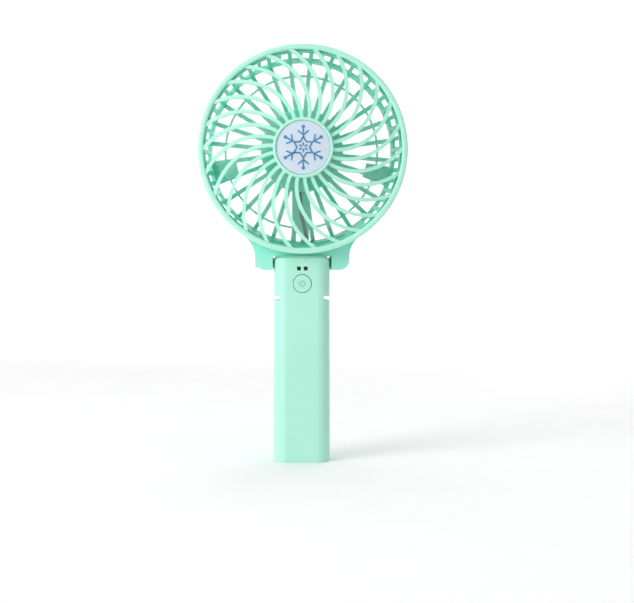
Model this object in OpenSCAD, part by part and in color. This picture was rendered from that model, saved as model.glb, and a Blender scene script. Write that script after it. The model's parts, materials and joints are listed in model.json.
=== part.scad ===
// Handheld folding fan. Millimetres, +Z up, the fan faces -Y.
// Origin: centre of the handle's flat bottom face. Head above, handle below.

/* [Handle] */
// Width of the handle, side to side
handle_w = 27.7; // [24:0.1:34]
// Depth of the handle, front to back
handle_d = 24; // [22.5:0.5:30]
// Height of the handle
handle_h = 100.35; // [95:0.05:120]
// Rounding of the handle's long edges
handle_r = 6.5; // [4:0.5:8]
// Rounding of the handle's ends, seen from the front
end_r = 2.9; // [1:0.1:5]
// Wall thickness of the handle shells
wall = 1.8; // [1.2:0.1:2.4]
// Height where the battery cover ends
cover_h = 69; // [66:0.5:72]

/* [Button and lights] */
// Height of the button's centre
button_z = 87.8; // [84:0.1:90]
// Radius of the button
button_r = 4.35; // [3:0.05:6]
// Travel of the button
button_travel = 0.6; // [0.3:0.1:0.8]
// Height of the indicator windows
led_z = 95.2; // [94:0.1:96]
// Side of each square indicator window
led_w = 1.9; // [1:0.1:2.5]

/* [Battery] */
// Radius of the battery cell
cell_r = 9; // [8:0.1:9.2]
// Length of the battery cell
cell_l = 65; // [60:0.5:65]

/* [Hinge] */
// How far behind the middle the hinge axis lies
hinge_y = 8; // [6:0.1:9]
// Height of the hinge axis
hinge_z = 97.8; // [96:0.1:98]
// Radius of the hinge pins
pin_r = 1.6; // [1.4:0.05:2]

/* [Head] */
// Height of the middle of the head
head_z = 153.4; // [150:0.1:165]
// Outer radius of the front ring
ring_r = 51; // [50:0.1:52]
// Number of curved ribs in the front grille
front_ribs = 26; // [16:1:36]
// Width of a front rib
front_rib_w = 1.7; // [1.2:0.1:2.4]
// Sweep of a front rib from hub to rim, in degrees
rib_sweep = 34.5; // [0:0.5:60]
// Number of straight ribs in the rear grille
rear_ribs = 28; // [16:1:36]
// Width of a rear rib
rear_rib_w = 2; // [1.2:0.1:2.4]
// Radius of the badge
badge_r = 12.95; // [9:0.05:13.2]

/* [Impeller] */
// Number of blades
blades = 4; // [3:1:6]
// Radius of the blade tips
tip_r = 44.5; // [38:0.1:45]
// Thickness of a blade
blade_t = 1; // [0.8:0.1:1.6]

/* [Hidden] */
$fn = 96;
hw = handle_w / 2;
hd = handle_d / 2;
rim_r = ring_r - 1.8;
rear_r = 46.6;
cup_r = 20.3;
front_y = -20;
rear_y = 3.3;
dome_r = 197;
dome_y = -25.4;
rib_deep = 2.4;
cover_y = 5.3;
board_y = -5.2;
board_t = 1.2;
board_w = 18;
board_z0 = 79;
board_h = 19;
usb_z = 88.6;
notch_z = 80.5;
notch_w = 2;
notch_in = 10.65;
motor_r = 12.2;
motor_y0 = -10.2;
motor_y1 = 0.6;
shaft_r = 1;
blue_grey = [0.84, 0.91, 0.94];
mint = [0.72, 0.95, 0.88];
deep_mint = [0.50, 0.83, 0.76];
steel = [0.75, 0.76, 0.78];
copper = [0.80, 0.48, 0.25];
dark = [0.08, 0.08, 0.09];

// ---------- helpers ----------

// Flat rounded rectangle about the origin.
module rrect(w, h, r) {
    square([w - 2 * r, h], center = true);
    square([w, h - 2 * r], center = true);
    for (x = [-1, 1], y = [-1, 1])
        translate([x * (w / 2 - r), y * (h / 2 - r)])
            circle(r);
}

// Lays a profile drawn as (radius, depth) round the head's front-to-back axis.
module about_head_axis() {
    translate([0, 0, head_z])
        rotate([-90, 0, 0])
            children();
}

// Cylinder along the depth axis from y0 to y1.
module ycyl(r, y0, y1, x = 0, z = 0) {
    translate([x, y0, z])
        rotate([-90, 0, 0])
            cylinder(r = r, h = y1 - y0);
}

// Cylinder along the width axis from x0 to x1.
module xcyl(r, x0, x1, y = 0, z = 0) {
    translate([x0, y, z])
        rotate([0, 90, 0])
            cylinder(r = r, h = x1 - x0);
}

// Box given by its two corners.
module block(a, b) {
    translate(a)
        cube(b - a);
}

// Round rod through a list of points, with ball corners.
module rod(pts, r, ball = 1.06) {
    for (i = [0 : len(pts) - 2]) {
        d = pts[i + 1] - pts[i];
        l = norm(d);
        translate(pts[i])
            rotate([0, acos(d[2] / l), atan2(d[1], d[0])])
                cylinder(r = r, h = l, $fn = 24);
    }
    for (i = [1 : len(pts) - 2])
        translate(pts[i])
            sphere(r = r * ball, $fn = 24);
}

// Spoke positions round the head, clockwise from the top seen from the front.
module round_head(n, start = 0) {
    for (i = [0 : n - 1])
        translate([0, 0, head_z])
            rotate([0, start + i * 360 / n, 0])
                children();
}

// ---------- handle ----------

// Outside shape of the whole handle, without hollows. Its back top edge is a round barrel about the hinge.
module handle_block() {
    intersection() {
        linear_extrude(handle_h + 3)
            rrect(handle_w, handle_d, handle_r);
        xcyl(4, -hw + 0.6, hw - 0.6, hinge_y, hinge_z);
    }
    difference() {
        intersection() {
            linear_extrude(handle_h)
                rrect(handle_w, handle_d, handle_r);
            translate([0, hd + 1, handle_h / 2])
                rotate([90, 0, 0])
                    linear_extrude(handle_d + 2)
                        rrect(handle_w, handle_h, end_r);
        }
        difference() {
            block([-hw - 1, hinge_y, hinge_z], [hw + 1, hd + 1, handle_h + 1]);
            xcyl(4, -hw - 2, hw + 2, hinge_y, hinge_z);
        }
    }
}

// Hollow inside the handle.
module handle_hollow() {
    translate([0, 0, wall])
        linear_extrude(handle_h - 2 * wall)
            rrect(handle_w - 2 * wall, handle_d - 2 * wall, handle_r - wall);
}

// The handle's shell as one piece, before it is parted, with notch walls and hinge bosses.
module handle_body() {
    difference() {
        union() {
            difference() {
                handle_block();
                handle_hollow();
            }
            intersection() {
                handle_block();
                for (s = [-1, 1])
                    translate([s * 11.6, 0, notch_z])
                        cube([4.6, handle_d + 2, 4.8], center = true);
            }
            intersection() {
                handle_block();
                for (s = [-1, 1])
                    translate([s * 11.6, hinge_y + 0.6, hinge_z - 1.2])
                        cube([5.2, 7.4, 9], center = true);
            }
            for (s = [-1, 1])
                xcyl(2.5, s > 0 ? 10 : -hw, s > 0 ? hw : -10, hinge_y, hinge_z);
        }
        for (s = [-1, 1])
            translate([s * (notch_in + 2), 0, notch_z])
                cube([4, handle_d + 4, notch_w], center = true);
        xcyl(pin_r, -hw - 1, hw + 1, hinge_y, hinge_z);
    }
}

// Screw places: x and z of each.
screw_at = [[-9.2, 3.9], [9.2, 3.9], [-8, 75.4], [8, 75.4]];

module handle_front_shell() color(mint)
difference() {
    union() {
        intersection() {
            handle_body();
            block([-hw - 1, -hd - 1, -1], [hw + 1, 0, handle_h + 1]);
        }
        for (p = screw_at)
            ycyl(1.9, -hd + wall - 0.4, 0, p[0], p[1]);
        for (s = [-1, 1])
            block([s * 7.2 - 1.3, -hd + wall - 0.4, 92.2], [s * 7.2 + 1.3, board_y, 97.4]);
    }
    ycyl(button_r + 0.28, -hd - 1, -hd + wall + 1, 0, button_z);
    for (s = [-1, 1])
        translate([s * 1.65, -hd, led_z])
            cube([led_w, 6, led_w], center = true);
    for (p = screw_at)
        ycyl(0.8, -6.5, 1, p[0], p[1]);
    for (s = [-1, 1])
        ycyl(0.7, -9.4, board_y + 1, s * 7.2, 95);
    translate([-hw, board_y + board_t + 1.63, usb_z])
        cube([8, 3.5, 9.2], center = true);
}

module handle_rear_shell() color(mint)
difference() {
    union() {
        difference() {
            intersection() {
                handle_body();
                block([-hw - 1, 0, -1], [hw + 1, hd + 1, handle_h + 1]);
            }
            block([-hw - 2, cover_y, -2], [hw + 2, hd + 2, cover_h]);
        }
        for (p = screw_at)
            ycyl(2.4, 0, p[1] < 10 ? cover_y - 0.2 : hd - wall + 0.3, p[0], p[1]);
        block([-10.5, 0, 71.6], [10.5, hd - wall + 0.3, 73.6]);
    }
    for (p = screw_at) {
        ycyl(1.1, -1, 3, p[0], p[1]);
        ycyl(1.95, 2, hd + 1, p[0], p[1]);
    }
    translate([0, 0, 5.9])
        cylinder(r = cell_r + 0.4, h = cell_l + 0.2);
}

module battery_cover() color(mint)
union() {
    intersection() {
        difference() {
            handle_block();
            handle_hollow();
        }
        block([-hw - 1, cover_y + 0.1, -1], [hw + 1, hd + 1, cover_h - 0.1]);
    }
    block([-6, hd - wall - 0.62, cover_h - 5], [6, hd - wall - 0.22, cover_h + 2]);
    block([-6, hd - wall - 0.62, cover_h - 5], [6, hd - wall + 0.3, cover_h - 0.6]);
    for (i = [0 : 4])
        translate([0, hd, 54 + i * 2.4])
            cube([9, 0.5, 1.1], center = true);
}

module battery_cell() color(steel)
union() {
    translate([0, 0, 6])
        cylinder(r = cell_r, h = cell_l - 0.8);
    translate([0, 0, 6])
        cylinder(r = 4.2, h = cell_l);
}

module cell_sleeve() color([0.30, 0.62, 0.52])
translate([0, 0, 6.3])
    difference() {
        cylinder(r = cell_r + 0.25, h = cell_l - 1.2);
        translate([0, 0, -1])
            cylinder(r = cell_r, h = cell_l + 2);
    }

module battery_contact_bottom() color(steel)
union() {
    block([-5, -4.4, 1.8], [5, 4.4, 2.3]);
    block([-4.6, -3, 2.3], [-4.1, 3, 6]);
    block([-4.6, -3, 5.5], [3, 3, 6]);
}

module battery_contact_top() color(steel)
union() {
    block([-4, -4, 71], [4, 4, 71.6]);
    block([-4, -4.5, 71], [4, -4, 74]);
}

module circuit_board() color([0.10, 0.36, 0.22])
difference() {
    block([-board_w / 2, board_y, board_z0], [board_w / 2, board_y + board_t, board_z0 + board_h]);
    for (s = [-1, 1])
        ycyl(0.8, board_y - 1, board_y + 3, s * 7.2, 95);
}

module board_chips() color(dark)
union() {
    y = board_y + board_t;
    block([-2.5, y, 80.6], [2.4, y + 1.4, 84.6]);
    block([4, y, 80.6], [8, y + 2, 84.6]);
    block([3.4, y, 86.6], [5, y + 0.9, 89]);
    block([-3.8, y, 94.6], [-1.4, y + 0.9, 96.2]);
    for (i = [0 : 2])
        block([-8 + i * 2, board_y - 0.5, 83], [-7 + i * 2, board_y, 84.8]);
}

module tact_switch() color(dark)
difference() {
    block([-3, -8.4, button_z - 3], [3, board_y, button_z + 3]);
    ycyl(1.65, -9, -7.2, 0, button_z);
}

module indicator_leds() color([0.95, 0.95, 0.85])
for (s = [-1, 1])
    block([s * 1.65 - 0.8, board_y - 0.7, led_z - 0.5], [s * 1.65 + 0.8, board_y, led_z + 0.5]);

module led_windows() color([0.14, 0.29, 0.24])
for (s = [-1, 1])
    translate([s * 1.65, -9, led_z])
        cube([led_w, 5.8, led_w], center = true);

module usb_socket() color(steel)
translate([-hw + 0.1, board_y + board_t + 1.63, usb_z])
    rotate([0, 90, 0])
        union() {
            difference() {
                linear_extrude(7.35)
                    rrect(8.94, 3.26, 1.6);
                translate([0, 0, -1])
                    linear_extrude(7.5)
                        rrect(8.3, 2.6, 1.28);
            }
            translate([0, 0, 3.9])
                cube([6.7, 0.7, 6.4], center = true);
        }

module handle_screws() color(steel)
for (p = screw_at)
    difference() {
        union() {
            ycyl(0.8, -6.4, 2.1, p[0], p[1]);
            ycyl(1.8, 2, 3.4, p[0], p[1]);
        }
        translate([p[0], 3.4, p[1]])
            cube([2.2, 1.4, 0.5], center = true);
        translate([p[0], 3.4, p[1]])
            cube([0.5, 1.4, 2.2], center = true);
    }

module board_screws() color(steel)
for (s = [-1, 1])
    difference() {
        union() {
            ycyl(0.7, -9.3, board_y + board_t + 0.1, s * 7.2, 95);
            ycyl(1.4, board_y + board_t, board_y + board_t + 1, s * 7.2, 95);
        }
        translate([s * 7.2, board_y + board_t + 1, 95])
            cube([1.8, 1, 0.4], center = true);
    }

module hinge_pin_left() color(steel)
xcyl(pin_r, -18.4, -8.6, hinge_y, hinge_z);

module hinge_pin_right() color(steel)
difference() {
    xcyl(pin_r, 8.6, 17.4, hinge_y, hinge_z);
    xcyl(0.9, 8, 18, hinge_y, hinge_z);
}

module hinge_washers() color([0.9, 0.9, 0.88])
for (s = [-1, 1])
    difference() {
        xcyl(3, s > 0 ? hw + 0.05 : -hw - 0.55, s > 0 ? hw + 0.55 : -hw - 0.05, hinge_y, hinge_z);
        xcyl(pin_r, -hw - 2, hw + 2, hinge_y, hinge_z);
    }

module motor_lead_lower() color(dark)
rod([[17.55, hinge_y, hinge_z], [8, hinge_y, hinge_z], [6.6, 6.6, 96.6], [6, -1.2, 92.6],
    [6, board_y + board_t + 0.22, 91.8]], 0.7, 1.15);

module battery_leads() color([0.72, 0.10, 0.10])
union() {
    rod([[3, -4.95, 73], [3, -6.6, 75.6], [3, -6.6, 80], [3, board_y - 0.4, 81.4]], 0.45, 1.15);
    rod([[-3, -4.4, 2.75], [-6.3, -7.2, 2.75], [-6.7, -7.9, 6.8], [-6.6, -7.9, 71.9],
        [-4.6, -8, 73.6], [-4.6, -8, 80], [-4.6, board_y - 0.36, 81.8]], 0.45, 1.15);
}

// ---------- button ----------

module power_button() color(mint)
difference() {
    union() {
        ycyl(button_r, -hd - 0.25, -9.3, 0, button_z);
        ycyl(5.2, -10.1, -9.3, 0, button_z);
    }
    translate([0, -hd - 38.1, button_z])
        sphere(r = 38);
}

// Printed on/off sign on the button: an open ring with a short bar.
module button_mark() color([0.45, 0.70, 0.63])
translate([0, -hd - 0.16, button_z])
    rotate([90, 0, 0])
        linear_extrude(0.08)
            union() {
                difference() {
                    circle(r = 1.5, $fn = 48);
                    circle(r = 1.15, $fn = 48);
                    translate([-0.55, 0.4])
                        square([1.1, 2]);
                }
                translate([-0.17, 0.2])
                    square([0.34, 1.5]);
            }

module switch_plunger() color([0.75, 0.15, 0.12])
ycyl(1.6, -9.3, -8, 0, button_z);

// ---------- head: front grille ----------

// Point on the grille plane: radius and clockwise angle from the top.
function at(r, a) = [r * cos(a - 90), r * sin(a - 90)];

// Clockwise angle of a curved rib's middle line at radius r.
function rib_angle(r) = -rib_sweep * pow(max(r - 15.6, 0) / 34.8, 1.4);

rib_n = 12;
function rib_mid(k) = let (r = 13.9 + (49 - 13.9) * k / rib_n) at(r, rib_angle(r));
function rib_side(k, s) =
    let (d = rib_mid(k + 0.5) - rib_mid(k - 0.5), n = [-d[1], d[0]] / norm(d))
    rib_mid(k) + s * front_rib_w / 2 * n;

// Outline of one curved rib.
module rib_outline() {
    polygon(concat([for (k = [0 : rib_n]) rib_side(k, 1)],
        [for (k = [rib_n : -1 : 0]) rib_side(k, -1)]));
}

module front_grille() color(mint)
about_head_axis()
    union() {
        rotate(4.2)
            rotate_extrude()
            union() {
                polygon([[48.2, -19.4], [48.8, front_y], [49.8, front_y], [ring_r, -18.8],
                    [ring_r, -13], [ring_r - 0.4, -12.6], [rim_r, -12.6], [rim_r, -17.4], [48.2, -17.4]]);
                translate([49.8, -18.8])
                    circle(r = 1.2, $fn = 32);
            }
        rotate(-2.85)
            rotate_extrude()
            union() {
                polygon([[0, -24.1], [badge_r + 0.1, -24.1], [badge_r + 0.1, -25.4], [14.55, -25.4],
                    [14.55, -22.3], [0, -22.3]]);
                translate([13.8, -25.4])
                    circle(r = 0.75, $fn = 32);
            }
        intersection() {
            translate([0, 0, -30])
                linear_extrude(20)
                    for (i = [0 : front_ribs - 1])
                        rotate(11 + i * 360 / front_ribs)
                            rib_outline();
            rotate_extrude()
                intersection() {
                    translate([0, dome_y + dome_r])
                        difference() {
                            circle(r = dome_r, $fn = 256);
                            circle(r = dome_r - rib_deep, $fn = 256);
                        }
                    translate([13.6, -40])
                        square([35.2, 40]);
                }
        }
    }

module badge_cap() color(blue_grey)
about_head_axis()
    rotate_extrude()
        intersection() {
            translate([0, dome_y - 0.5 + dome_r])
                circle(r = dome_r, $fn = 256);
            translate([0, -27])
                square([badge_r, 2.9]);
        }

// Star outline with six points.
module star(a, b) {
    polygon([for (i = [0 : 11]) (i % 2 == 0 ? a : b) * [sin(i * 30), cos(i * 30)]]);
}

// One arm of the snowflake, drawn upwards from the star.
module flake_arm(l = 9.9) {
    translate([-0.42, 5])
        square([0.84, l - 5]);
    translate([0, l])
        circle(r = 0.88, $fn = 32);
    for (s = [-1, 1])
        translate([0, 5.9])
            rotate(s * 50)
                translate([-0.38, 0])
                    square([0.76, 3.4]);
}

// Printed snowflake that follows the badge's face.
module badge_emblem() color([0.33, 0.56, 0.75])
about_head_axis()
    intersection() {
        translate([0, 0, -30])
            linear_extrude(20)
                union() {
                    for (i = [0 : 5])
                        rotate(i * 60)
                            flake_arm();
                    difference() {
                        star(5.8, 3.5);
                        star(4.3, 2.6);
                    }
                    for (i = [0 : 5])
                        rotate(i * 60)
                            polygon([[0, 0.5], [0.55, 1.5], [0, 2.7], [-0.55, 1.5]]);
                }
        rotate_extrude()
            intersection() {
                difference() {
                    translate([0, dome_y - 0.62 + dome_r])
                        circle(r = dome_r, $fn = 256);
                    translate([0, dome_y - 0.5 + dome_r])
                        circle(r = dome_r, $fn = 256);
                }
                translate([0, -27])
                    square([12, 5]);
            }
    }

// ---------- head: rear housing ----------

// Smooth step from 0 to 1.
function ease(t) = let (u = min(max(t, 0), 1)) u * u * (3 - 2 * u);

// Side view of an ear: flat below, round about the hinge, sloping back up to the head.
module ear_side() {
    polygon(concat([[-9, 112], [-9, 94.3]],
        [for (a = [-90 : 10 : 40]) [hinge_y + 3.5 * cos(a), hinge_z + 3.5 * sin(a)]],
        [[rear_y, 112]]));
}

// Front view of the right ear: rounded foot and a hollow sweep up to the ring.
module ear_front() {
    polygon(concat([[14.5, 112], [14.5, 94.9], [15.1, 94.3]],
        [for (a = [-90 : 10 : 0]) [18.3 + 5 * cos(a), 99.3 + 5 * sin(a)]],
        [for (a = [180 : -5 : 125]) [36.3 + 13 * cos(a), 100.7 + 13 * sin(a)]],
        [[27.2, 114.4], [22, 116]]));
}

module ears_and_neck() {
    difference() {
        union() {
            for (s = [0, 1])
                mirror([s, 0, 0])
                    intersection() {
                        translate([0, 20, 0])
                            rotate([90, 0, 0])
                                linear_extrude(40)
                                    ear_front();
                        rotate([90, 0, 90])
                            linear_extrude(40)
                                ear_side();
                    }
            block([-14.9, -9, 101.2], [14.9, 3.2, 110]);
        }
        about_head_axis()
            translate([0, 0, -30])
                cylinder(r = 46, h = 50);
    }
}

// Path of the motor lead in the head.
lead_path = [[-0.8, -2.8, 137.2], [-0.8, -2.8, 132], [-0.2, -2.8, 122], [1.8, -2.8, 113.5],
    [2.9, -2.6, 108], [3.4, -0.8, 104.6], [5.4, 1.7, 103.3], [17, 1.7, 103.3],
    [18.8, 3.4, 102.2], [19, 7.2, 98.6], [18.4, hinge_y, hinge_z], [17.65, hinge_y, hinge_z]];

module rear_housing() color(deep_mint)
difference() {
    union() {
        about_head_axis() {
            rotate_extrude()
                polygon([[rim_r - 0.05, -16.6], [rim_r - 0.05, -12.4], [rear_r, -1.2], [rear_r, rear_y - 0.9],
                    [rear_r - 0.9, rear_y], [44.7, rear_y], [44.7, -0.6], [47.5, -12.4], [47.5, -16.6]]);
            rotate_extrude()
                polygon([[37.6, 0.9], [38.5, 0.9], [38.5, 2.6], [37.6, 2.6]]);
            rotate_extrude()
                polygon([[12.4, -8.4], [cup_r - 0.6, -8.4], [cup_r, -7.8], [cup_r, rear_y - 0.8],
                    [cup_r - 0.8, rear_y], [0, rear_y], [0, 1.7], [18.7, 1.7], [18.7, -6.9], [12.4, -6.9]]);
            for (a = [9.5, 159.5])
                rotate(a)
                    rotate_extrude(angle = 12.4)
                        translate([33, 1.4])
                            square([12.5, 1]);
        }
        round_head(rear_ribs, 5.5)
            block([-rear_rib_w / 2, 0.6, 19.6], [rear_rib_w / 2, 2.9, 45.4]);
        ears_and_neck();
        block([-4.6, 0, 104], [3.7, 2.9, 134.5]);
    }
    // Windows of the side wall, with plain wall left round the ears.
    for (k = [0 : 55]) {
        a = 5.5 + (k + 0.5) * 360 / 56;
        if (abs(a - 180) > 38)
            translate([0, 0, head_z])
                rotate([0, a, 0])
                    block([-1.67, -12, 43], [1.67, -2.2, 52]);
    }
    block([-2.8, -1, 108.6], [-0.3, 4, 112.6]);
    for (s = [-1, 1]) {
        ycyl(0.9, 1, 4, s * 7, head_z);
        ycyl(1.7, 2.3, 4, s * 7, head_z);
    }
    translate([-0.8, -2.8, 131])
        cylinder(r = 1, h = 5, $fn = 24);
    block([1.8, -4, 102.1], [5.7, 0.7, 109]);
    block([2.6, 0.6, 102.3], [6.2, 2.2, 105.1]);
    block([1.8, 0.6, 102.3], [20.2, 4, 104.3]);
    block([16.4, 0.6, 101.4], [20.2, 4, 104.3]);
    block([17.58, 2.4, 96.8], [20.2, 12, 104.3]);
    xcyl(pin_r + 0.05, 14, 17.58, hinge_y, hinge_z);
    xcyl(pin_r + 0.05, -18.5, -14, hinge_y, hinge_z);
    xcyl(2.4, 20, 24, hinge_y, hinge_z);
    xcyl(2.4, -24, -20, hinge_y, hinge_z);
    xcyl(pin_r + 0.05, -21, -18.4, hinge_y, hinge_z);
}

module hinge_pin_caps() color(mint)
for (s = [-1, 1])
    xcyl(2.35, s > 0 ? 20.4 : -23.25, s > 0 ? 23.25 : -20.4, hinge_y, hinge_z);

module motor_lead_upper() color(dark)
rod(lead_path, 0.8);

module motor_wires() color([0.72, 0.10, 0.10])
for (s = [-1, 1])
    rod([[-0.8 + s * 0.4, -2.7, 137.62], [s * 1.9, 0.2, 138.6]], 0.35);

// ---------- head: motor ----------

module motor_can() color(steel)
about_head_axis()
    difference() {
        union() {
            translate([0, 0, motor_y0])
                cylinder(r = motor_r, h = motor_y1 - motor_y0);
            translate([0, 0, -10.9])
                cylinder(r = 3.2, h = 1);
        }
        translate([0, 0, motor_y0 + 0.8])
            cylinder(r = 11.4, h = 20);
        translate([0, 0, -12])
            cylinder(r = 2.6, h = 5);
    }

module motor_magnets() color([0.25, 0.24, 0.24])
about_head_axis()
    for (a = [20, 200])
        rotate(a)
            rotate_extrude(angle = 140)
                translate([9.7, -8.6])
                    square([1.7, 7.8]);

module motor_end_cap() color([0.12, 0.12, 0.13])
difference() {
    about_head_axis()
        difference() {
            union() {
                translate([0, 0, -0.5])
                    cylinder(r = 11.4, h = 1.2);
                translate([0, 0, 0.6])
                    cylinder(r = motor_r, h = 1.1);
            }
            translate([0, 0, -1])
                cylinder(r = 1.9, h = 2.3);
        }
    for (s = [-1, 1])
        ycyl(0.8, -1, 3, s * 7, head_z);
    for (s = [-1, 1])
        block([s * 2 - 0.7, 0.7, head_z - 15], [s * 2 + 0.7, 1.2, head_z - 11.2]);
}

module motor_brushes() color(copper)
for (s = [0, 1])
    mirror([s, 0, 0])
        union() {
            block([2.45, -2.2, head_z - 1.2], [3.3, -0.5, head_z + 1.2]);
            block([3.3, -0.8, head_z - 0.8], [7, -0.5, head_z + 0.8]);
        }

module motor_bushes() color([0.72, 0.58, 0.30])
about_head_axis()
    for (b = [[2.6, -10.9, 1.9], [1.9, -0.5, 1.5]])
        translate([0, 0, b[1]])
            difference() {
                cylinder(r = b[0], h = b[2]);
                translate([0, 0, -1])
                    cylinder(r = shaft_r + 0.03, h = 4);
            }

module motor_terminals() color(copper)
for (s = [-1, 1])
    block([s * 2 - 0.7, 0.7, head_z - 15], [s * 2 + 0.7, 1.2, head_z - 11.2]);

module motor_screws() color(steel)
for (s = [-1, 1])
    difference() {
        union() {
            ycyl(0.8, -0.4, 2.4, s * 7, head_z);
            ycyl(1.6, 2.3, 3.2, s * 7, head_z);
        }
        translate([s * 7, 3.2, head_z])
            cube([2, 0.9, 0.4], center = true);
        translate([s * 7, 3.2, head_z])
            cube([0.4, 0.9, 2], center = true);
    }

// ---------- rotor ----------

module motor_shaft() color(steel)
ycyl(shaft_r, -20.4, 0.9, 0, head_z);

module armature_core() color([0.35, 0.35, 0.37])
about_head_axis()
    difference() {
        union() {
            translate([0, 0, -7.4])
                cylinder(r = 3, h = 4.2);
            for (i = [0 : 2])
                rotate(i * 120) {
                    block([2, -1.3, -7.4], [8, 1.3, -3.2]);
                    rotate(-50)
                        rotate_extrude(angle = 100)
                            translate([7.6, -7.4])
                                square([1.7, 4.2]);
                }
        }
        translate([0, 0, -9])
            cylinder(r = shaft_r, h = 9);
    }

module armature_windings() color(copper)
about_head_axis()
    for (i = [0 : 2])
        rotate(i * 120)
            difference() {
                block([3.9, -2.3, -8.2], [7.1, 2.3, -2.6]);
                block([3, -1.3, -7.4], [8, 1.3, -3.2]);
            }

module commutator() color(copper)
about_head_axis()
    difference() {
        translate([0, 0, -2.55])
            cylinder(r = 2.4, h = 1.65);
        translate([0, 0, -3])
            cylinder(r = shaft_r, h = 3);
        for (i = [0 : 2])
            rotate(60 + i * 120)
                block([1.6, -0.12, -2.2], [3, 0.12, 0]);
    }

// Blade surface: c runs across the blade from front edge to back edge, s runs from root to tip.
function blade_tip(c) = tip_r - 5 * pow(abs(2 * c - 1), 3);
function blade_r(s, c) = 9.8 + s * (blade_tip(c) - 9.8);
function edge_a(r) = 4 - 26 * ease((r - 9.5) / 21);
function edge_b(r) = 57 - 17 * pow(max(r - 22, 0) / 22.5, 2);
function front_at(r) = -19.4 + 2.8 * (r - 9.5) / 35;
function back_at(r) = -11.5 + 7 * ease((r - 16) / 16);
function blade_pt(s, c, up) =
    let (r = blade_r(s, c), a = edge_a(r) + c * (edge_b(r) - edge_a(r)),
        y = front_at(r) + (c + 0.12 * sin(180 * c)) * (back_at(r) - front_at(r)))
    [r * sin(a), y + up * blade_t / 2, r * cos(a)];
bm = 9;
bn = 9;
function bi(i, j, k) = k * (bm + 1) * (bn + 1) + i * (bn + 1) + j;

// One twisted blade as a closed thin skin.
module blade() {
    polyhedron(
        points = [for (k = [0, 1], i = [0 : bm], j = [0 : bn]) blade_pt(i / bm, j / bn, 2 * k - 1)],
        faces = concat(
            [for (i = [0 : bm - 1], j = [0 : bn - 1]) [bi(i, j, 0), bi(i + 1, j, 0), bi(i + 1, j + 1, 0)]],
            [for (i = [0 : bm - 1], j = [0 : bn - 1]) [bi(i, j, 0), bi(i + 1, j + 1, 0), bi(i, j + 1, 0)]],
            [for (i = [0 : bm - 1], j = [0 : bn - 1]) [bi(i, j, 1), bi(i + 1, j + 1, 1), bi(i + 1, j, 1)]],
            [for (i = [0 : bm - 1], j = [0 : bn - 1]) [bi(i, j, 1), bi(i, j + 1, 1), bi(i + 1, j + 1, 1)]],
            [for (i = [0 : bm - 1]) [bi(i, 0, 0), bi(i, 0, 1), bi(i + 1, 0, 1)]],
            [for (i = [0 : bm - 1]) [bi(i, 0, 0), bi(i + 1, 0, 1), bi(i + 1, 0, 0)]],
            [for (i = [0 : bm - 1]) [bi(i, bn, 0), bi(i + 1, bn, 1), bi(i, bn, 1)]],
            [for (i = [0 : bm - 1]) [bi(i, bn, 0), bi(i + 1, bn, 0), bi(i + 1, bn, 1)]],
            [for (j = [0 : bn - 1]) [bi(0, j, 0), bi(0, j + 1, 1), bi(0, j, 1)]],
            [for (j = [0 : bn - 1]) [bi(0, j, 0), bi(0, j + 1, 0), bi(0, j + 1, 1)]],
            [for (j = [0 : bn - 1]) [bi(bm, j, 0), bi(bm, j, 1), bi(bm, j + 1, 1)]],
            [for (j = [0 : bn - 1]) [bi(bm, j, 0), bi(bm, j + 1, 1), bi(bm, j + 1, 0)]]));
}

module impeller() color([0.88, 0.93, 0.94])
union() {
    about_head_axis()
        difference() {
            rotate_extrude()
                polygon([[0, -21.3], [8.6, -21.3], [10, -20.9], [10.8, -20], [10.8, -11.4], [9.2, -11.4],
                    [9.2, -19.6], [3.2, -19.6], [3.2, -11.8], [0, -11.8]]);
            translate([0, 0, -20.4])
                cylinder(r = shaft_r, h = 12);
        }
    round_head(blades, 0)
        blade();
}

// ---------- pieces ----------

handle_front_shell();
handle_rear_shell();
battery_cell();
cell_sleeve();
battery_contact_bottom();
battery_contact_top();
circuit_board();
board_chips();
tact_switch();
indicator_leds();
led_windows();
usb_socket();
handle_screws();
board_screws();
hinge_pin_left();
hinge_pin_right();
hinge_washers();
motor_lead_lower();
battery_leads();
power_button();
button_mark();
switch_plunger();
battery_cover();
front_grille();
badge_cap();
badge_emblem();
rear_housing();
motor_can();
motor_magnets();
motor_end_cap();
motor_brushes();
motor_bushes();
motor_terminals();
motor_screws();
motor_lead_upper();
motor_wires();
hinge_pin_caps();
impeller();
motor_shaft();
armature_core();
armature_windings();
commutator();
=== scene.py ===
import bpy
import json
import math
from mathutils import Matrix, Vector

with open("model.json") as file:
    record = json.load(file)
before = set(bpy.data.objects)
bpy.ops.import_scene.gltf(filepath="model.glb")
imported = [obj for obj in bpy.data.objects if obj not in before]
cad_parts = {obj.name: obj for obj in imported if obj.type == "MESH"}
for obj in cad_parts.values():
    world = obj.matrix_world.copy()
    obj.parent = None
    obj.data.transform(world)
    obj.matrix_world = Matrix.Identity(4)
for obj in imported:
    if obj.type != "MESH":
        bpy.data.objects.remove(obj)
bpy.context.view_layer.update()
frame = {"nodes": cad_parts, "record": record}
NODES = frame["nodes"]
MM = 0.001

# Noise scales, in repeats per metre.
DRIFT_SCALE = 28.0
SMUDGE_SCALE = 90.0
GRAIN_SCALE = 3600.0

GRAIN_HEIGHT = 0.04 * MM
LIGHT_DEPTH = 1.2 * MM

# Edge treatment, angles in degrees.
WELD_GAP = 2e-6
FLAT_ANGLE = 0.6
ROUND_ANGLE = 38
SHARP_ANGLE = 33
ROUND_SEGMENTS = 2


# ---------------------------------------------------------------- materials

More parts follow.
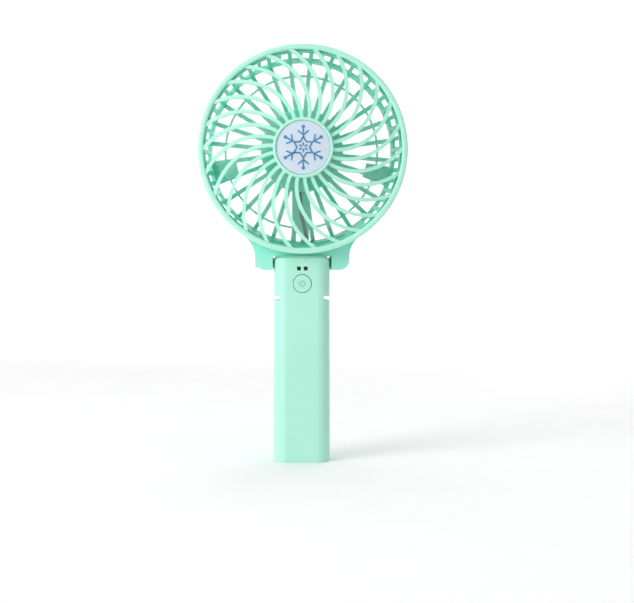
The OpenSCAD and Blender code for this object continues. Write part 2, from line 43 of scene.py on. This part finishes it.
def tree(name):
    """A new node material with its shader and a place on the object."""
    m = bpy.data.materials.new(name)
    m.use_nodes = True
    t = m.node_tree
    t.nodes.clear()
    out = t.nodes.new("ShaderNodeOutputMaterial")
    sh = t.nodes.new("ShaderNodeBsdfPrincipled")
    t.links.new(sh.outputs["BSDF"], out.inputs["Surface"])
    co = t.nodes.new("ShaderNodeTexCoord")
    return m, t, sh, co.outputs["Object"]


def noise(t, co, scale, detail=3.0, rough=0.55):
    n = t.nodes.new("ShaderNodeTexNoise")
    n.inputs["Scale"].default_value = scale
    n.inputs["Detail"].default_value = detail
    n.inputs["Roughness"].default_value = rough
    t.links.new(co, n.inputs["Vector"])
    return n.outputs["Fac"]


def ramp(t, fac, lo, hi, a, b):
    """Maps fac from lo..hi to the span a..b."""
    r = t.nodes.new("ShaderNodeMapRange")
    r.inputs["From Min"].default_value = lo
    r.inputs["From Max"].default_value = hi
    r.inputs["To Min"].default_value = a
    r.inputs["To Max"].default_value = b
    t.links.new(fac, r.inputs["Value"])
    return r.outputs["Result"]


def blend(t, fac, c1, c2):
    """A colour between c1 and c2, by fac."""
    x = t.nodes.new("ShaderNodeMix")
    x.data_type = "RGBA"
    x.inputs["A"].default_value = (*c1, 1)
    x.inputs["B"].default_value = (*c2, 1)
    t.links.new(fac, x.inputs["Factor"])
    return x.outputs["Result"]


def colour_drift(t, sh, fac, lo, hi, c1, c2):
    t.links.new(blend(t, ramp(t, fac, lo, hi, 0.0, 1.0), c1, c2), sh.inputs["Base Color"])


def gloss_drift(t, sh, fac, a, b):
    t.links.new(ramp(t, fac, 0.3, 0.7, a, b), sh.inputs["Roughness"])


def bump(t, sh, height, strength, dist):
    b = t.nodes.new("ShaderNodeBump")
    b.inputs["Strength"].default_value = strength
    b.inputs["Distance"].default_value = dist
    t.links.new(height, b.inputs["Height"])
    t.links.new(b.outputs["Normal"], sh.inputs["Normal"])


def soft_skin(sh, weight):
    """Lets light a little way into the plastic."""
    sh.inputs["Subsurface Weight"].default_value = weight
    sh.inputs["Subsurface Radius"].default_value = (1.0, 1.0, 1.0)
    sh.inputs["Subsurface Scale"].default_value = LIGHT_DEPTH


def shade(c, k):
    return tuple(min(1.0, v * k) for v in c)


def plastic(name, col, rough=0.38, grain=0.25, sss=0.0, coat=0.0, vary=0.05, gloss=0.5):
    """Moulded plastic: slow colour drift, uneven gloss, fine moulded grain."""
    m, t, sh, co = tree(name)
    slow = noise(t, co, DRIFT_SCALE)
    colour_drift(t, sh, slow, 0.3, 0.7, shade(col, 1 - vary), shade(col, 1 + vary * 0.6))
    smudge = noise(t, co, SMUDGE_SCALE, 4.0, 0.6)
    gloss_drift(t, sh, smudge, rough - 0.05, rough + 0.07)
    sh.inputs["IOR"].default_value = 1.5
    if coat:
        sh.inputs["Coat Weight"].default_value = coat
        sh.inputs["Coat Roughness"].default_value = 0.12
    if sss:
        soft_skin(sh, sss)
    sh.inputs["Specular IOR Level"].default_value = gloss
    bump(t, sh, noise(t, co, GRAIN_SCALE, 2.0), grain, GRAIN_HEIGHT)
    return m


def metal(name, col, rough=0.3, brush=(1.0, 1.0, 12.0), grain=0.3):
    """Worked metal: stretched fine scratches in colour, gloss and height."""
    m, t, sh, co = tree(name)
    mp = t.nodes.new("ShaderNodeMapping")
    mp.inputs["Scale"].default_value = brush
    t.links.new(co, mp.inputs["Vector"])
    lines = noise(t, mp.outputs["Vector"], 700.0, 4.0, 0.6)
    spots = noise(t, co, 160.0)
    colour_drift(t, sh, spots, 0.35, 0.65, shade(col, 0.82), shade(col, 1.08))
    gloss_drift(t, sh, lines, rough - 0.08, rough + 0.14)
    sh.inputs["Metallic"].default_value = 1.0
    bump(t, sh, lines, grain, 0.03 * MM)
    return m


def shaded_plastic(name, col, painted_shade_colour, rough=0.4, grain=0.25, sss=0.2):
    """Moulded plastic with painted shade: ambient occlusion paints its sheltered corners a deeper colour,
    standing in for light bounced between tinted walls.
    """
    m, t, sh, co = tree(name)
    # Painted shade: occlusion, jittered a little by noise, blends the deeper colour into recesses and
    # corners.
    ao = t.nodes.new("ShaderNodeAmbientOcclusion")
    ao.samples = 6
    ao.inputs["Distance"].default_value = 30 * MM
    wobble = t.nodes.new("ShaderNodeMath")
    wobble.operation = "MULTIPLY_ADD"
    wobble.inputs[1].default_value = 0.10
    t.links.new(noise(t, co, 40.0), wobble.inputs[0])
    t.links.new(ao.outputs["AO"], wobble.inputs[2])
    colour_drift(t, sh, wobble.outputs[0], 0.38, 0.95, painted_shade_colour, col)
    gloss_drift(t, sh, noise(t, co, SMUDGE_SCALE, 4.0, 0.6), rough - 0.05, rough + 0.07)
    soft_skin(sh, sss)
    bump(t, sh, noise(t, co, GRAIN_SCALE, 2.0), grain, GRAIN_HEIGHT)
    return m


def clear_blade(name):
    """Milky clear plastic: see-through face on, denser where seen edge on."""
    m, t, sh, co = tree(name)
    haze = noise(t, co, 55.0, 4.0, 0.6)
    colour_drift(t, sh, haze, 0.3, 0.7, (0.64, 0.88, 0.80), (0.80, 0.95, 0.90))
    gloss_drift(t, sh, noise(t, co, 260.0), 0.10, 0.24)
    lw = t.nodes.new("ShaderNodeLayerWeight")
    lw.inputs["Blend"].default_value = 0.35
    t.links.new(ramp(t, lw.outputs["Facing"], 0.1, 1.0, 0.15, 0.94), sh.inputs["Alpha"])
    sh.inputs["IOR"].default_value = 1.49
    bump(t, sh, noise(t, co, 900.0, 2.0), 0.15, 0.03 * MM)
    return m


MINT = (0.455, 0.865, 0.71)
MATS = {
    "mint_plastic": plastic("mint_plastic", MINT, 0.36, 0.25, sss=0.25, vary=0.03),
    # Rear housing: its second, deeper colour is painted shade in sheltered corners and recesses.
    "deep_mint_plastic": shaded_plastic("deep_mint_plastic", (0.40, 0.88, 0.72), (0.20, 0.78, 0.61)),
    "badge_white": plastic("badge_white", (0.64, 0.74, 0.84), 0.28, 0.12, coat=0.35, vary=0.03),
    "emblem_blue": plastic("emblem_blue", (0.085, 0.27, 0.50), 0.35, 0.15, vary=0.08),
    "mark_grey": plastic("mark_grey", (0.30, 0.55, 0.48), 0.45, 0.15, vary=0.08),
    "clear_plastic": clear_blade("clear_plastic"),
    "steel": metal("steel", (0.62, 0.63, 0.65), 0.28),
    "zinc_steel": metal("zinc_steel", (0.70, 0.70, 0.70), 0.36, (6.0, 6.0, 6.0)),
    "dark_plastic": plastic("dark_plastic", (0.022, 0.023, 0.026), 0.45, 0.4, vary=0.2),
    "copper": metal("copper", (0.78, 0.42, 0.22), 0.3, (14.0, 1.0, 1.0), 0.6),
    "bronze": metal("bronze", (0.62, 0.47, 0.25), 0.4, (5.0, 5.0, 5.0), 0.5),
    "board_green": plastic("board_green", (0.02, 0.15, 0.07), 0.3, 0.3, coat=0.4, vary=0.15),
    "cell_wrap": plastic("cell_wrap", (0.05, 0.35, 0.27), 0.25, 0.1, coat=0.3, vary=0.08),
    "black_rubber": plastic("black_rubber", (0.014, 0.014, 0.016), 0.55, 0.5, vary=0.2, gloss=0.2),
    "red_rubber": plastic("red_rubber", (0.40, 0.025, 0.02), 0.5, 0.4, vary=0.1),
    "window_dark": plastic("window_dark", (0.010, 0.040, 0.030), 0.35, 0.03, vary=0.1, gloss=0.15),
    "led_white": plastic("led_white", (0.86, 0.84, 0.66), 0.25, 0.05),
    "nylon_white": plastic("nylon_white", (0.80, 0.80, 0.76), 0.45, 0.3),
    "red_plastic": plastic("red_plastic", (0.50, 0.04, 0.03), 0.4, 0.2),
    "magnet_grey": plastic("magnet_grey", (0.05, 0.05, 0.052), 0.6, 0.8, vary=0.25),
    "core_steel": metal("core_steel", (0.35, 0.35, 0.37), 0.38, (1.0, 22.0, 1.0), 0.9),
}


# ---------------------------------------------------------------- edges of the CAD pieces

def smooth_group():
    """Geometry nodes that smooth everything but the edges sharper than SHARP_ANGLE."""
    g = bpy.data.node_groups.new("smooth_edges", "GeometryNodeTree")
    g.interface.new_socket("Geometry", in_out="INPUT", socket_type="NodeSocketGeometry")
    g.interface.new_socket("Geometry", in_out="OUTPUT", socket_type="NodeSocketGeometry")
    gi = g.nodes.new("NodeGroupInput")
    go = g.nodes.new("NodeGroupOutput")
    angle = g.nodes.new("GeometryNodeInputMeshEdgeAngle")
    sharp = g.nodes.new("FunctionNodeCompare")
    sharp.data_type = "FLOAT"
    sharp.operation = "GREATER_THAN"
    sharp.inputs[1].default_value = math.radians(SHARP_ANGLE)
    face = g.nodes.new("GeometryNodeSetShadeSmooth")
    edge = g.nodes.new("GeometryNodeStoreNamedAttribute")
    edge.data_type = "BOOLEAN"
    edge.domain = "EDGE"
    edge.inputs["Name"].default_value = "sharp_edge"
    g.links.new(gi.outputs[0], face.inputs["Geometry"])
    g.links.new(face.outputs[0], edge.inputs["Geometry"])
    g.links.new(angle.outputs["Unsigned Angle"], sharp.inputs[0])
    g.links.new(sharp.outputs[0], edge.inputs["Value"])
    g.links.new(edge.outputs[0], go.inputs[0])
    return g


SMOOTH = smooth_group()


def soften(o, width):
    """Welds the piece, rounds its edges by width millimetres and evens its shading."""
    for name in ("custom_normal", "sharp_edge", "sharp_face"):
        a = o.data.attributes.get(name)
        if a is not None:
            o.data.attributes.remove(a)
    w = o.modifiers.new("weld", "WELD")
    w.merge_threshold = WELD_GAP
    d = o.modifiers.new("flat", "DECIMATE")
    d.decimate_type = "DISSOLVE"
    d.angle_limit = math.radians(FLAT_ANGLE)
    if width:
        b = o.modifiers.new("round", "BEVEL")
        b.width = width * MM
        b.segments = ROUND_SEGMENTS
        b.limit_method = "ANGLE"
        b.angle_limit = math.radians(ROUND_ANGLE)
        b.use_clamp_overlap = True
        b.miter_outer = "MITER_ARC"
    s = o.modifiers.new("smooth", "NODES")
    s.node_group = SMOOTH
    n = o.modifiers.new("flatten", "WEIGHTED_NORMAL")
    n.keep_sharp = True


# Edge radius of each piece, in millimetres; wires, blades and printed signs keep theirs.
ROUND = {"handle_front_shell": 0.22, "handle_rear_shell": 0.22, "battery_cover": 0.22, "power_button": 0.3,
         "front_grille": 0.22, "badge_cap": 0.25, "rear_housing": 0.16, "led_windows": 0.1,
         "usb_socket": 0.06, "motor_can": 0.3, "motor_end_cap": 0.2, "battery_cell": 0.4, "cell_sleeve": 0.05,
         "circuit_board": 0.08, "board_chips": 0.08, "tact_switch": 0.15, "handle_screws": 0.08,
         "board_screws": 0.06, "motor_screws": 0.06, "hinge_pin_left": 0.15, "hinge_pin_right": 0.12,
         "hinge_washers": 0.08, "hinge_pin_caps": 0.2, "armature_core": 0.1, "armature_windings": 0.5,
         "commutator": 0.08, "motor_shaft": 0.2, "motor_brushes": 0.08, "motor_bushes": 0.1,
         "motor_magnets": 0.15, "battery_contact_top": 0.08, "battery_contact_bottom": 0.08,
         "switch_plunger": 0.2, "indicator_leds": 0.05, "motor_terminals": 0.08}

for part in frame["record"]["subparts"]:
    o = NODES[part["node"]]
    o.data.materials.clear()
    o.data.materials.append(MATS[part["material_slot"]])
    soften(o, ROUND.get(part["node"], 0.0))


# ---------------------------------------------------------------- stage

def area(name, loc, aim, size, watts):
    """A square soft light at loc, pointed at aim."""
    d = bpy.data.lights.new(name, "AREA")
    d.shape = "RECTANGLE"
    d.size = d.size_y = size
    d.energy = watts
    o = bpy.data.objects.new(name, d)
    bpy.context.scene.collection.objects.link(o)
    o.location = loc
    o.rotation_mode = "QUATERNION"
    o.rotation_quaternion = (Vector(aim) - Vector(loc)).to_track_quat("-Z", "Y")


def backdrop(front=-3.0, back=0.9, half_width=4.0, bend=0.5, height=3.0, steps=16):
    """A pale floor that curves up behind the object."""
    profile = [(front, 0.0), (back, 0.0)]
    for i in range(1, steps + 1):
        a = math.pi / 2 * i / steps
        profile.append((back + bend * math.sin(a), bend - bend * math.cos(a)))
    profile.append((back + bend, height))
    verts = [(x, y, z) for x in (-half_width, half_width) for y, z in profile]
    k = len(profile)
    me = bpy.data.meshes.new("floor")
    me.from_pydata(verts, [], [(i, i + 1, k + i + 1, k + i) for i in range(k - 1)])
    me.polygons.foreach_set("use_smooth", [True] * len(me.polygons))
    o = bpy.data.objects.new("floor", me)
    bpy.context.scene.collection.objects.link(o)
    me.materials.append(plastic("floor_white", (0.93, 0.93, 0.93), 0.7, 0.0, vary=0.01))


backdrop()
CENTRE = (0, 0, 0.105)
area("key", (-0.78, -0.56, 0.42), CENTRE, 0.5, 6.2)
area("fill", (0.7, -0.6, 0.30), CENTRE, 0.7, 0.5)
area("top", (0.0, 0.0, 1.2), (0.0, 0.0, 0.0), 1.4, 7.0)
area("wall_left", (-0.8, 0.8, 0.5), (-0.5, 1.6, 0.4), 0.6, 5.5)
area("wall_right", (0.8, 0.8, 0.5), (0.5, 1.6, 0.4), 0.6, 5.5)
area("rear", (0.5, 0.8, 0.35), CENTRE, 0.5, 0.9)
world = bpy.data.worlds.new("studio")
bpy.context.scene.world = world
world.use_nodes = True
sky = world.node_tree.nodes["Background"]
sky.inputs["Color"].default_value = (1, 1, 1, 1)
sky.inputs["Strength"].default_value = 0.38
bpy.context.scene.view_settings.view_transform = "Standard"

cam = bpy.data.cameras.new("camera")
cam.lens = 68.1
cam.sensor_width = 36.0
cam.shift_x = 0.0875
cam.shift_y = -0.0733
eye = bpy.data.objects.new("camera", cam)
bpy.context.scene.collection.objects.link(eye)
eye.location = (-0.020, -0.600, 0.1018)
eye.rotation_euler = (math.radians(90), 0, 0)
bpy.context.scene.camera = eye
